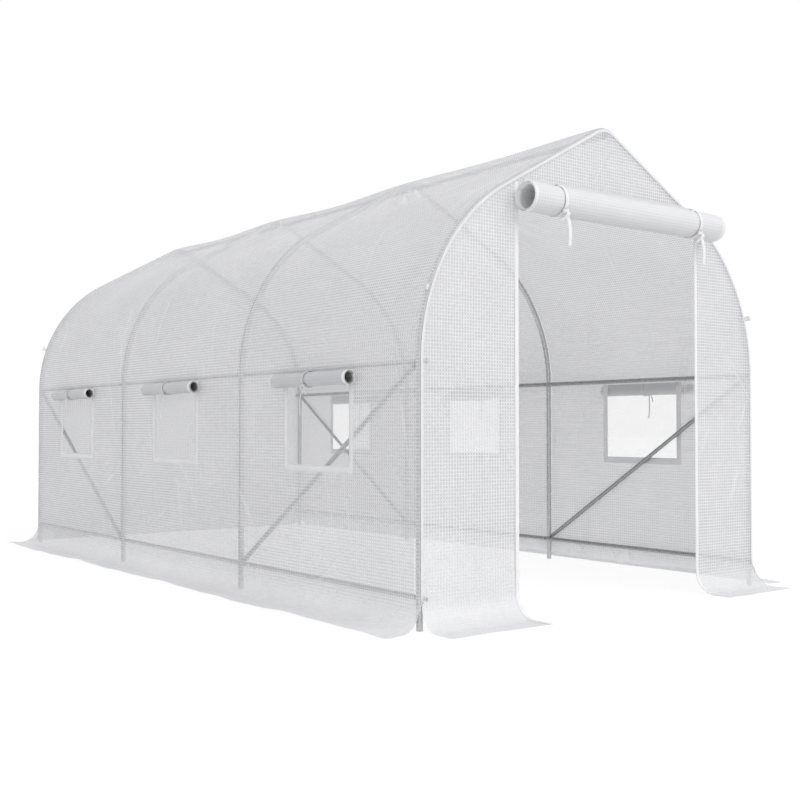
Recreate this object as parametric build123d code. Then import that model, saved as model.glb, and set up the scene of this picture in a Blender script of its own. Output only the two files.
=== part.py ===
"""Walk-in polytunnel greenhouse: steel hoops in equal bays under one fabric cover, with a roll-up door."""

import os
from math import asin, cos, radians, sin, tan

from build123d import *

# All lengths are in millimetres. X runs across the tunnel, Y along it with the door at the -Y end,
# and Z up. The origin is on the ground at the middle of the plan.

# Steel frame
frame_length = 4000.0
frame_width = 2000.0
frame_height = 2000.0
bays = 3
hoop_diameter = 25.0
rail_diameter = 20.0
tube_wall = 0.8
tube_sides = 12
bow_radius = 800.0
bow_steps = 12
roof_pitch = 29.0
ridge_radius = 100.0
ridge_steps = 3
bottom_rail_height = 114.0
swage_length = 40.0
swage_neck = 3.0
socket_clearance = 0.2

# Fabric cover
seat_gap = 0.3
film_thickness = 2.0
hem_thickness = 3.0
screen_thickness = 1.0

# Door
left_panel_width = 495.0
right_panel_width = 425.0
gable_height = 300.0
door_hem_width = 20.0
door_roll_left_overhang = 25.0
door_roll_right_overhang = 65.0
door_roll_radius = 61.0
door_roll_turns = 4
door_roll_drop = 64.0
door_tie_inset = 170.0
door_tie_width = 12.0
door_tie_tail = 125.0

# Windows, one in each bay of each side wall
window_width = 460.0
window_height = 365.0
window_hem_width = 30.0
window_top_margin = 3.0
window_roll_length = 580.0
window_roll_radius = 31.0
window_roll_turns = 2
window_roll_drop = 12.0
window_tie_width = 8.0
window_tie_tail = 95.0

# Rolled flaps and their ties
layer_pitch = 6.0
turn_steps = 10
flap_lap = 26.0
tie_thickness = 1.5
tie_turn_steps = 9
knot_size = 18.0
knot_sides = 8
knot_steps = 4

# Ground skirts
skirt_top = 100.0
skirt_reach = 185.0
skirt_flare = 30.0
skirt_corner_radius = 55.0

# Guy loops at the corners
guy_loop_height = 1250.0
guy_loop_size = 26.0
guy_loop_band = 6.0
guy_loop_thickness = 1.5

# Sizes worked out from the ones above
hoop_radius = hoop_diameter / 2
rail_radius = rail_diameter / 2
half_span = frame_width / 2 - hoop_radius
half_length = frame_length / 2
hoop_spacing = (frame_length - hoop_diameter) / bays
hoop_places = [i * hoop_spacing - bays * hoop_spacing / 2 for i in range(bays + 1)]
bay_centres = [(a + b) / 2 for a, b in zip(hoop_places, hoop_places[1:])]

bow_turn = 90 - roof_pitch
pitch_cos = cos(radians(roof_pitch))
pitch_sin = sin(radians(roof_pitch))
ridge_axis_height = frame_height - hoop_radius
bow_centre_x = half_span - bow_radius
shoulder_x = bow_centre_x + bow_radius * pitch_sin
bow_rise = bow_radius * pitch_cos
roof_rise = shoulder_x * tan(radians(roof_pitch)) - ridge_radius * (1 / pitch_cos - 1)
eave_height = ridge_axis_height - bow_rise - roof_rise
shoulder_height = eave_height + bow_rise
ridge_centre_height = ridge_axis_height - ridge_radius
ridge_tangent_x = ridge_radius * pitch_sin
rafter_length = (shoulder_x - ridge_tangent_x) / pitch_cos
bow_stub = swage_length + swage_neck

film_inner = hoop_radius + seat_gap
film_outer = film_inner + film_thickness
wall_inner_x = half_span + film_inner
wall_outer_x = half_span + film_outer
end_inner_y = half_length + seat_gap
end_outer_y = end_inner_y + film_thickness
door_height = frame_height - gable_height
door_left = left_panel_width - frame_width / 2
door_right = frame_width / 2 - right_panel_width
door_roll_left = door_left - door_roll_left_overhang
door_roll_right = door_right + door_roll_right_overhang
window_head = eave_height - window_top_margin - window_hem_width
window_middle = window_head - window_height / 2


def round_section(radius):
    """Many-sided outline that stands for a circle, with a flat on each side that meets another piece."""
    return RegularPolygon(radius, tube_sides, major_radius=False, rotation=180 / tube_sides)


def tube(radius, length):
    """Straight tube that stands on the XY plane."""
    return extrude(round_section(radius) - round_section(radius - tube_wall), length)


def narrowed_end(radius, reduced):
    """Solid end that narrows just below the XY plane and then runs on straight."""
    narrow = Pos(0, 0, -swage_neck) * round_section(reduced)
    return loft([round_section(radius), narrow], ruled=True) + extrude(narrow, -swage_length)


def plug(radius):
    """Reduced solid end below the XY plane, which plugs into the next tube."""
    return narrowed_end(radius, radius - tube_wall - socket_clearance)


def swage(radius):
    """Reduced tube end below the XY plane, which plugs into the next tube."""
    reduced = radius - tube_wall - socket_clearance
    return narrowed_end(radius, reduced) - narrowed_end(radius - tube_wall, reduced - tube_wall)


def bend(radius, bend_radius, turn, steps):
    """Solid bar bent towards -X in the XZ plane in short straight steps, starting upright at the origin."""
    centre = Pos(-bend_radius, 0, 0)
    section = Pos(bend_radius, 0, 0) * round_section(radius)
    return loft([centre * Rot(0, -turn * i / steps, 0) * section for i in range(steps + 1)], ruled=True)


def each_hoop(piece):
    """One copy of a piece in the plane of every hoop."""
    return [Pos(0, y, 0) * piece for y in hoop_places]


def mirrored(pieces):
    """The same pieces on the left side of the tunnel."""
    return [mirror(piece, about=Plane.YZ) for piece in pieces]


def along_rafter(distance):
    """Place at a distance up the right-hand rafter from its shoulder, with local Z pointing up the slope."""
    x = shoulder_x - distance * pitch_cos
    z = shoulder_height + distance * pitch_sin
    return Plane(origin=(x, 0, z), x_dir=(pitch_sin, 0, pitch_cos), z_dir=(-pitch_cos, 0, pitch_sin))


def right_legs():
    """Upright tubes from the ground to just under the swaged bows."""
    return each_hoop(Pos(half_span, 0, 0) * tube(hoop_radius, eave_height - swage_neck))


def right_bows():
    """Bent tubes from the eave to the shoulder, plugged into the legs, with a straight stub on top."""
    arc = bend(hoop_radius, bow_radius, bow_turn, bow_steps)
    curve = Pos(half_span, 0, eave_height) * (arc + plug(hoop_radius))
    stub = along_rafter(0) * tube(hoop_radius, bow_stub)
    return each_hoop(curve + stub)


def right_rafters():
    """Straight roof tubes, swaged into the bows."""
    start = bow_stub + swage_neck
    straight = tube(hoop_radius, rafter_length - swage_neck - start) + swage(hoop_radius)
    return each_hoop(along_rafter(start) * straight)


def ridge_bends():
    """Bent tubes over the ridge, plugged into the rafters on both sides."""
    half_bend = bend(hoop_radius, ridge_radius, roof_pitch, ridge_steps) + plug(hoop_radius)
    right_half = along_rafter(rafter_length) * half_bend
    return each_hoop(right_half + mirror(right_half, about=Plane.YZ))


def rail(x, z):
    """Lengthwise tubes from end to end, each swaged into the next one at a hoop."""
    spans = []
    ends = [-half_length, *hoop_places[1:-1], half_length]
    for number, (start, end) in enumerate(zip(ends, ends[1:])):
        first = number == 0
        body_start = start if first else start + swage_neck
        span = tube(rail_radius, end - body_start)
        if not first:
            span += swage(rail_radius)
        spans.append(Plane(origin=(x, body_start, z), z_dir=(0, 1, 0)) * span)
    return spans


def brace(high_y, low_y):
    """Diagonal tube from a leg's waist joint to its neighbour's foot joint, cut upright at both legs."""
    low = Vector(half_span, low_y, bottom_rail_height)
    high = Vector(half_span, high_y, eave_height)
    path = high - low
    diagonal = Plane(origin=low, x_dir=(1, 0, 0), z_dir=path) * tube(rail_radius, path.length)
    clear_length = abs(high_y - low_y) - 2 * (hoop_radius + seat_gap)
    return [diagonal & Pos(low + path / 2) * Box(frame_width, clear_length, frame_height)]


def sector(centre, inner, outer, start, turn):
    """Flat arc band round a centre."""
    arc_in = CenterArc(centre, inner, start, turn)
    arc_out = CenterArc(centre, outer, start, turn)
    return make_face([arc_in, arc_out, Line(arc_in @ 0, arc_out @ 0), Line(arc_in @ 1, arc_out @ 1)])


def strip(section):
    """Lengthwise strip of the cover with the given cross-section."""
    return [extrude(Plane.XZ * section, end_inner_y, both=True)]


def wall_section():
    """Cross-section of the upright side wall."""
    height = eave_height - skirt_top
    return Pos(wall_inner_x + film_thickness / 2, skirt_top + height / 2) * Rectangle(film_thickness, height)


def right_wall():
    """Side wall with an opening for every window and its hem."""
    wall = strip(wall_section())[0]
    hole_width = window_width + 2 * window_hem_width
    hole_height = window_height + 2 * window_hem_width
    for y in bay_centres:
        wall -= Pos(wall_inner_x, y, window_middle) * Box(4 * film_thickness, hole_width, hole_height)
    return [wall]


def right_shoulder():
    """Curved part of the cover over the bows."""
    centre = (bow_centre_x, eave_height)
    return strip(sector(centre, bow_radius + film_inner, bow_radius + film_outer, 0, bow_turn))


def right_roof():
    """Flat roof slope of the cover over the rafters."""
    start = Vector(shoulder_x, shoulder_height)
    end = Vector(ridge_tangent_x, ridge_centre_height + ridge_radius * pitch_cos)
    out = Vector(pitch_sin, pitch_cos)
    corners = [start + out * film_inner, start + out * film_outer, end + out * film_outer, end + out * film_inner]
    return strip(make_face(Polyline(*corners, close=True)))


def ridge_cover():
    """Rounded top of the cover over the ridge bends."""
    centre = (0, ridge_centre_height)
    turn = 2 * roof_pitch
    return strip(sector(centre, ridge_radius + film_inner, ridge_radius + film_outer, 90 - roof_pitch, turn))


def end_outline():
    """Face of a closed tunnel end, out to the outer face of the cover and down to the skirt."""
    bow_centre = Vector(bow_centre_x, eave_height)
    bow = CenterArc(bow_centre, bow_radius + film_outer, 0, bow_turn)
    top = CenterArc((0, ridge_centre_height), ridge_radius + film_outer, 90 - roof_pitch, 2 * roof_pitch)
    left_bow = CenterArc((-bow_centre_x, eave_height), bow_radius + film_outer, 90 + roof_pitch, bow_turn)
    right_side = Line((wall_outer_x, skirt_top), bow @ 0)
    left_side = Line(left_bow @ 1, (-wall_outer_x, skirt_top))
    foot = Line(left_side @ 1, right_side @ 0)
    slopes = [Line(bow @ 1, top @ 0), Line(top @ 1, left_bow @ 0)]
    return make_face([right_side, bow, slopes[0], top, slopes[1], left_bow, left_side, foot])


def end_slab(section, outer_y):
    """Sheet with the given section that ends the tunnel, on the side of the given outer face."""
    slab = extrude(Plane.XZ * section, film_thickness)
    return Pos(0, outer_y if outer_y > 0 else outer_y + film_thickness, 0) * slab


def front_part(x_from, x_to, z_from):
    """Piece of the door-end sheet between two uprights, above a height."""
    window = Pos((x_from + x_to) / 2, z_from + frame_height / 2) * Rectangle(x_to - x_from, frame_height)
    return [end_slab(end_outline() & window, -end_outer_y)]


def door_hems():
    """Doubled fabric strips down both edges of the doorway."""
    height = door_height - skirt_top
    pieces = []
    for x in (door_left - door_hem_width / 2, door_right + door_hem_width / 2):
        place = Pos(x, -end_inner_y - hem_thickness / 2, skirt_top + height / 2)
        pieces.append(place * Box(door_hem_width, hem_thickness, height))
    return pieces


def skirt_section(inner_x):
    """Section of a ground skirt: it leaves the wall upright, curves out and lies on the ground."""
    inner_curve = skirt_top
    curve = sector((inner_x + inner_curve, inner_curve), inner_curve - film_thickness, inner_curve, 180, 90)
    flat_length = skirt_reach - inner_curve
    flat_centre = inner_x + inner_curve + flat_length / 2
    return curve + Pos(flat_centre, film_thickness / 2) * Rectangle(flat_length, film_thickness)


def skirt(inner_x, start, end, start_flare, end_flare):
    """Skirt along +Y, outside a wall whose inner face is at inner_x, with rounded outer corners."""
    body = extrude(Plane.XZ * skirt_section(inner_x), end - start + start_flare + end_flare)
    body = Pos(0, end + end_flare, 0) * body
    outer_x = inner_x + skirt_reach
    plan = Polyline(
        (inner_x, start),
        (outer_x, start - start_flare),
        (outer_x, end + end_flare),
        (inner_x, end),
        close=True,
    )
    face = make_face(plan)
    outer_corners = face.vertices().group_by(Axis.X)[-1]
    return body & extrude(fillet(outer_corners, skirt_corner_radius), skirt_top)


def front_skirts():
    """Skirts of the door end, one on each side of the doorway."""
    turned = Rot(0, 0, -90)
    left = turned * skirt(end_inner_y, -wall_inner_x, door_left, 0, 0)
    right = turned * skirt(end_inner_y, door_right, wall_inner_x, 0, 0)
    return left, right


def hem_frame():
    """Doubled fabric frame round one window, lying in the YZ plane."""
    edge = Rectangle(window_width + 2 * window_hem_width, window_height + 2 * window_hem_width)
    return edge - Rectangle(window_width, window_height)


def each_window(piece):
    """One copy of a piece at every window of the right wall, from a piece round the window's middle."""
    return [Pos(wall_inner_x, y, window_middle) * piece for y in bay_centres]


def window_hems():
    """Hem frames of the right wall's windows."""
    return each_window(extrude(Plane.YZ * hem_frame(), hem_thickness))


def window_screens():
    """Fine screens that close the windows of the right wall."""
    screen = Rectangle(window_width, window_height)
    inset = (film_thickness - screen_thickness) / 2
    return each_window(Pos(inset, 0, 0) * extrude(Plane.YZ * screen, screen_thickness))


def roll_centre(outer_radius, face):
    """Distance of a roll's axis from the frame, so that its tie fits between the roll and the given face."""
    return face + tie_thickness + 2 * seat_gap + outer_radius


def spiral(centre, outer_radius, thickness, pitch, steps):
    """Flat band that starts behind its centre and winds down, forward and inwards in short straight steps."""
    outer_edge = []
    inner_edge = []
    for step in range(steps + 1):
        radius = outer_radius - pitch * step / turn_steps
        out = Vector(-radius, 0).rotate(Axis.Z, 360 * step / turn_steps)
        outer_edge.append(Vector(*centre) + out)
        inner_edge.append(Vector(*centre) + out * (1 - thickness / radius))
    return make_face(Polyline(*outer_edge, *reversed(inner_edge), close=True))


def roll_section(centre, outer_radius, turns, lap_height):
    """Rolled-up flap seen from its end: a spiral whose outer end rises to its seam."""
    coil = spiral(centre, outer_radius, film_thickness, layer_pitch, turns * turn_steps)
    lap_x = centre[0] - outer_radius + film_thickness / 2
    lap = Pos(lap_x, centre[1] + lap_height / 2) * Rectangle(film_thickness, lap_height)
    return coil + lap


def tie_section(centre, outer_radius, lap_height, tail):
    """Tape tie seen from its end: round the roll, with a knot on a low front corner and a tail below it."""
    inner = outer_radius + seat_gap
    loop = spiral(centre, inner + tie_thickness, tie_thickness, 0, tie_turn_steps)
    back_x = centre[0] - inner - tie_thickness / 2
    back = Pos(back_x, centre[1] + lap_height / 2) * Rectangle(tie_thickness, lap_height)
    knot_place = Pos(*centre) * Rot(0, 0, 180 + 360 * knot_steps / turn_steps) * Pos(inner + knot_size / 2, 0)
    knot = knot_place * RegularPolygon(knot_size / 2, knot_sides, major_radius=False, rotation=180 / knot_sides)
    hang = Pos(knot_place.position - (0, tail / 2)) * Rectangle(tie_thickness, tail)
    return loop + back + knot + hang


def door_flap(section, left, right):
    """Piece across the door end between two places, from its section seen along the roll."""
    across = Plane(origin=(right, 0, 0), x_dir=(0, -1, 0), z_dir=(-1, 0, 0))
    return extrude(across * section, right - left)


def door_roll():
    """Door sheet rolled up over the doorway and hung from its seam on the gable."""
    centre = (roll_centre(door_roll_radius, end_outer_y), door_height - door_roll_drop)
    section = roll_section(centre, door_roll_radius, door_roll_turns, door_roll_drop + flap_lap)
    return [door_flap(section, door_roll_left, door_roll_right)]


def door_ties():
    """Two tapes that hold the door roll up."""
    centre = (roll_centre(door_roll_radius, end_outer_y), door_height - door_roll_drop)
    section = tie_section(centre, door_roll_radius, door_roll_drop + flap_lap, door_tie_tail)
    half_width = door_tie_width / 2
    places = (door_roll_left + door_tie_inset, door_roll_right - door_tie_inset)
    return [door_flap(section, x - half_width, x + half_width) for x in places]


def window_flap(section, length):
    """Pieces along the right wall, one for each window, from their section seen along the roll."""
    piece = extrude(Plane.XZ * section, length / 2, both=True)
    return [Pos(0, y, 0) * piece for y in bay_centres]


def window_rolls():
    """Window flaps rolled up on the outside of the right wall."""
    hem_face = wall_inner_x + hem_thickness
    centre = (roll_centre(window_roll_radius, hem_face), window_head - window_roll_drop)
    lap_height = window_roll_drop + flap_lap
    section = roll_section(centre, window_roll_radius, window_roll_turns, lap_height)
    return window_flap(section, window_roll_length)


def window_ties():
    """Tapes that hold the window rolls up, one for each window of the right wall."""
    hem_face = wall_inner_x + hem_thickness
    centre = (roll_centre(window_roll_radius, hem_face), window_head - window_roll_drop)
    section = tie_section(centre, window_roll_radius, window_roll_drop + flap_lap, window_tie_tail)
    return window_flap(section, window_tie_width)


def guy_loops():
    """Tape loops for guy ropes, sewn into the seams between the cover and both ends."""
    edge_radius = bow_radius + film_outer
    lean = asin((guy_loop_height - eave_height) / edge_radius)
    seam = Vector(bow_centre_x + edge_radius * cos(lean), end_outer_y, guy_loop_height)
    outward = Vector(cos(lean), 0, sin(lean))
    upward = Vector(-sin(lean), 0, cos(lean))
    diagonal = (outward + Vector(0, 1, 0)).normalized()
    hole = guy_loop_size - 2 * guy_loop_band
    loop = Rectangle(guy_loop_size, guy_loop_size) - Rectangle(hole, hole)
    middle = seam + diagonal * (2 * seat_gap + guy_loop_size / 2)
    place = Plane(origin=middle, x_dir=diagonal, z_dir=diagonal.cross(upward))
    rear_right = extrude(place * loop, guy_loop_thickness / 2, both=True)
    rear = [rear_right, mirror(rear_right, about=Plane.YZ)]
    return rear + [mirror(piece, about=Plane.XZ) for piece in rear]


def build():
    """Every sub-part by its name, as a list of solids."""
    rail_x = half_span - hoop_radius - seat_gap - rail_radius
    ridge_rail_height = ridge_axis_height - hoop_radius - seat_gap - rail_radius
    front_left_skirt, front_right_skirt = front_skirts()
    rear_skirt = Rot(0, 0, 90) * skirt(end_inner_y, -wall_inner_x, wall_inner_x, 0, 0)
    side_skirt = skirt(wall_inner_x, -end_inner_y, end_inner_y, skirt_flare, skirt_flare)
    parts = {
        "ridge_bends": ridge_bends(),
        "ridge_rail": rail(0, ridge_rail_height),
        "ridge_cover": ridge_cover(),
        "front_left_panel": front_part(-frame_width, door_left - door_hem_width, skirt_top),
        "front_right_panel": front_part(door_right + door_hem_width, frame_width, skirt_top),
        "front_gable": front_part(door_left - door_hem_width, door_right + door_hem_width, door_height),
        "rear_panel": [end_slab(end_outline(), end_outer_y)],
        "front_left_skirt": [front_left_skirt],
        "front_right_skirt": [front_right_skirt],
        "rear_skirt": [rear_skirt],
        "door_hems": door_hems(),
        "door_roll": door_roll(),
        "door_ties": door_ties(),
        "guy_loops": guy_loops(),
    }
    right_side = {
        "legs": right_legs(),
        "bows": right_bows(),
        "rafters": right_rafters(),
        "waist_rail": rail(rail_x, eave_height),
        "bottom_rail": rail(rail_x, bottom_rail_height),
        "front_brace": brace(hoop_places[0], hoop_places[1]),
        "rear_brace": brace(hoop_places[-1], hoop_places[-2]),
        "wall": right_wall(),
        "shoulder": right_shoulder(),
        "roof": right_roof(),
        "skirt": [side_skirt],
        "window_hems": window_hems(),
        "window_screens": window_screens(),
        "window_rolls": window_rolls(),
        "window_ties": window_ties(),
    }
    for name, pieces in right_side.items():
        parts["right_" + name] = pieces
        parts["left_" + name] = mirrored(pieces)
    return parts


os.makedirs("parts", exist_ok=True)
for name, pieces in build().items():
    solids = [solid for piece in pieces for solid in piece.solids()]
    export_step(solids[0] if len(solids) == 1 else Compound(children=solids), f"parts/{name}.step")
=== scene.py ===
"""Dressed scene of a walk-in polytunnel: fabric cover, rolled door and windows, tube frame."""
import random
from math import asin, cos, degrees, hypot, pi, radians, sin, sqrt, tan

import bpy
import numpy as np
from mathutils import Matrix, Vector


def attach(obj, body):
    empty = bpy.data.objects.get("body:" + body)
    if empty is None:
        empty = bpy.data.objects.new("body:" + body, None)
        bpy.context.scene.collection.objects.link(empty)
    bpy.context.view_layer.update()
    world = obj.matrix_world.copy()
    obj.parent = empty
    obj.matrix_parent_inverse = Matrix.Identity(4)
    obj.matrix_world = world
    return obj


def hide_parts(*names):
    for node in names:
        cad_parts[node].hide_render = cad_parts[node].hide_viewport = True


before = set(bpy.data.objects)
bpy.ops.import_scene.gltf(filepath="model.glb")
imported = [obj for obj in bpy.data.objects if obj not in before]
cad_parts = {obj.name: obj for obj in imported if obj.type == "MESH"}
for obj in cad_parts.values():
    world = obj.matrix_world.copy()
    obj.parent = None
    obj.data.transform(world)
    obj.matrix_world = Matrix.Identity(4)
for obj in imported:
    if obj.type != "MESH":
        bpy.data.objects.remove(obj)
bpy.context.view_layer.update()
scene = bpy.context.scene

# --- Sizes in metres, the same as the model's ---
HOOP_R = 0.0125
RAIL_R = 0.010
TUBE_WALL = 0.0008
CLEARANCE = 0.0003
HALF_SPAN = 0.9875
HALF_LENGTH = 1.9875
BOW_R = 0.8
BOW_DEGREES = 61
PITCH_DEGREES = 29
PITCH = radians(PITCH_DEGREES)
PITCH_SIN, PITCH_COS = sin(PITCH), cos(PITCH)
RIDGE_R = 0.1
RIDGE_AXIS = 1.9875
RIDGE_CENTRE = RIDGE_AXIS - RIDGE_R
RIDGE_TANGENT = RIDGE_R * PITCH_SIN
BOW_X = HALF_SPAN - BOW_R
SHOULDER_X = BOW_X + BOW_R * PITCH_SIN
ROOF_RISE = SHOULDER_X * tan(PITCH) - RIDGE_R * (1 / PITCH_COS - 1)
EAVE = RIDGE_AXIS - BOW_R * PITCH_COS - ROOF_RISE
SHOULDER_Z = EAVE + BOW_R * PITCH_COS
RAFTER = (SHOULDER_X - RIDGE_TANGENT) / PITCH_COS
NECK = 0.003
BOTTOM_RAIL = 0.114
RAIL_X = HALF_SPAN - HOOP_R - CLEARANCE - RAIL_R
RIDGE_RAIL_Z = RIDGE_AXIS - HOOP_R - CLEARANCE - RAIL_R
RAIL_END = 2.0
SPACING = 2 * HALF_LENGTH / 3
HOOPS = [-HALF_LENGTH + i * SPACING for i in range(4)]
BAYS = [(a + b) / 2 for a, b in zip(HOOPS, HOOPS[1:])]
SIDES = ((-1, "left"), (1, "right"))

FILM = 0.0138
FILM_FACE = HALF_LENGTH + FILM
WALL_X = HALF_SPAN + FILM
SKIRT_TOP = 0.1
SKIRT_REACH = 0.185
FILM_REST = 0.0015
SKIRT_CURVE = SKIRT_TOP - FILM_REST
SKIRT_FLARE = 0.042
RIDGE_SAG, SLOPE_SAG = 0.015, 0.006
MESH_STEP = 0.0165
GRID_PITCH = 0.0135

DOOR_LEFT, DOOR_RIGHT, DOOR_TOP = -0.505, 0.575, 1.70
DOOR_EDGES = DOOR_LEFT - 0.008, DOOR_RIGHT + 0.008
DOOR_ROLL_R, DOOR_ROLL_LENGTH, DOOR_LAP = 0.060, 1.17, 0.088
WINDOW_W, WINDOW_H, WINDOW_HEM = 0.46, 0.365, 0.03
WINDOW_SEAM = 0.016
WINDOW_HEAD = EAVE - 0.003 - WINDOW_HEM
WINDOW_SILL = WINDOW_HEAD - WINDOW_H
WINDOW_MID = (WINDOW_HEAD + WINDOW_SILL) / 2
WINDOW_ROLL_R, WINDOW_ROLL_LENGTH, WINDOW_LAP = 0.030, 0.58, 0.030

# Distances along the cover from the ridge line, at the end of the ridge bend, the slope,
# the bow, the wall, the skirt's curve and the skirt.
S1 = (RIDGE_R + FILM) * PITCH
S2 = S1 + RAFTER
S3 = S2 + (BOW_R + FILM) * (pi / 2 - PITCH)
S4 = S3 + EAVE - SKIRT_TOP
S5 = S4 + SKIRT_CURVE * pi / 2
S6 = S5 + SKIRT_REACH - SKIRT_TOP


# --- Mesh helpers ---
def mesh_object(name, verts, faces, uv=None, material=None, smooth=True):
    """Object from vertex, face and per-vertex UV lists."""
    mesh = bpy.data.meshes.new(name)
    mesh.from_pydata([tuple(v) for v in verts], [], [tuple(f) for f in faces])
    if uv is not None:
        layer = mesh.uv_layers.new(name="UVMap")
        index = np.zeros(len(mesh.loops), np.int32)
        mesh.loops.foreach_get("vertex_index", index)
        layer.data.foreach_set("uv", np.asarray(uv, np.float32)[index].ravel())
    mesh.polygons.foreach_set("use_smooth", [smooth] * len(mesh.polygons))
    mesh.update()
    obj = bpy.data.objects.new(name, mesh)
    scene.collection.objects.link(obj)
    if material:
        mesh.materials.append(material)
    return obj


def dress(obj, slot, *nodes):
    """Gives a piece its body and hides the nodes that it takes the place of. The slot is not
    used.
    """
    if nodes:
        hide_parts(*nodes)
    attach(obj, "root")
    return obj


def grid_faces(rows, cols, keep=None, start=0, wrap=False):
    """Quads of a grid of vertices, in row order."""
    faces = []
    for r in range(rows - 1):
        for c in range(cols if wrap else cols - 1):
            if keep is None or keep[r, c]:
                d = (c + 1) % cols
                faces.append((start + r * cols + c, start + r * cols + d,
                              start + (r + 1) * cols + d, start + (r + 1) * cols + c))
    return faces


def end_caps(rows, m):
    """Faces that close the two ends of a swept section of m points."""
    last = (rows - 1) * (m + 1)
    return [list(range(m))[::-1], [last + j for j in range(m)]]


def run_length(points):
    """Distance along a line at each of its points."""
    steps = np.linalg.norm(np.diff(np.asarray(points, float), axis=0), axis=1)
    return np.concatenate([[0], np.cumsum(steps)])


def spread(stops, step):
    """Values from the first stop to the last, through every stop, about one step apart."""
    values = [stops[0]]
    for a, b in zip(stops, stops[1:]):
        n = max(1, round((b - a) / step))
        values += [a + (b - a) * i / n for i in range(1, n + 1)]
    return np.array(values)


def sweep(name, path, side, up, section, material):
    """Closed section (pairs along side and up) carried along a path, with capped ends."""
    path = np.asarray(path, float)
    side, up = (np.broadcast_to(np.asarray(a, float), path.shape) for a in (side, up))
    m = len(section)
    around = run_length([*section, section[0]])
    verts, uv = [], []
    for p, s, u, length in zip(path, side, up, run_length(path)):
        for j in range(m + 1):
            a, b = section[j % m]
            verts.append(p + s * a + u * b)
            uv.append((length, around[j]))
    faces = grid_faces(len(path), m + 1) + end_caps(len(path), m)
    return mesh_object(name, verts, faces, uv, material)


def rounded(width, thick, n=3):
    """Flat section with round edges, as (across, up) pairs."""
    r = thick / 2
    points = []
    for cx, start in ((width / 2 - r, -90), (-width / 2 + r, 90)):
        for i in range(n + 1):
            a = radians(start + 180 * i / n)
            points.append((cx + r * cos(a), r * sin(a)))
    return points


def directions(path):
    """Unit directions along a path."""
    d = np.gradient(np.asarray(path, float), axis=0)
    return d / np.linalg.norm(d, axis=1)[:, None]


def ribbon(name, path, across, width, thick, material):
    """Flat tape that follows a path, with its width along a fixed direction."""
    across = np.asarray(across, float)
    up = np.cross(directions(path), across)
    up /= np.linalg.norm(up, axis=1)[:, None]
    return sweep(name, path, across, up, rounded(width, thick), material)


def smooth_path(points, n=4):
    """Catmull-Rom curve through a few points."""
    pts = [Vector(p) for p in points]
    pts = [pts[0] * 2 - pts[1]] + pts + [pts[-1] * 2 - pts[-2]]
    out = []
    for a, b, c, d in zip(pts, pts[1:], pts[2:], pts[3:]):
        for k in range(n):
            t = k / n
            out.append(0.5 * ((2 * b) + (c - a) * t + (2 * a - 5 * b + 4 * c - d) * t ** 2
                              + (3 * b - a - 3 * c + d) * t ** 3))
    out.append(pts[-2])
    return np.array([tuple(p) for p in out])


def unit(a):
    """Value held between 0 and 1."""
    return np.clip(a, 0, 1)


def corner_inset(edge, r):
    """How far a rounded corner draws a side in, at a distance from the sheet's edge."""
    return np.where(edge < r, r - np.sqrt(np.maximum(r * r - (r - edge) ** 2, 0)), 0)


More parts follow.
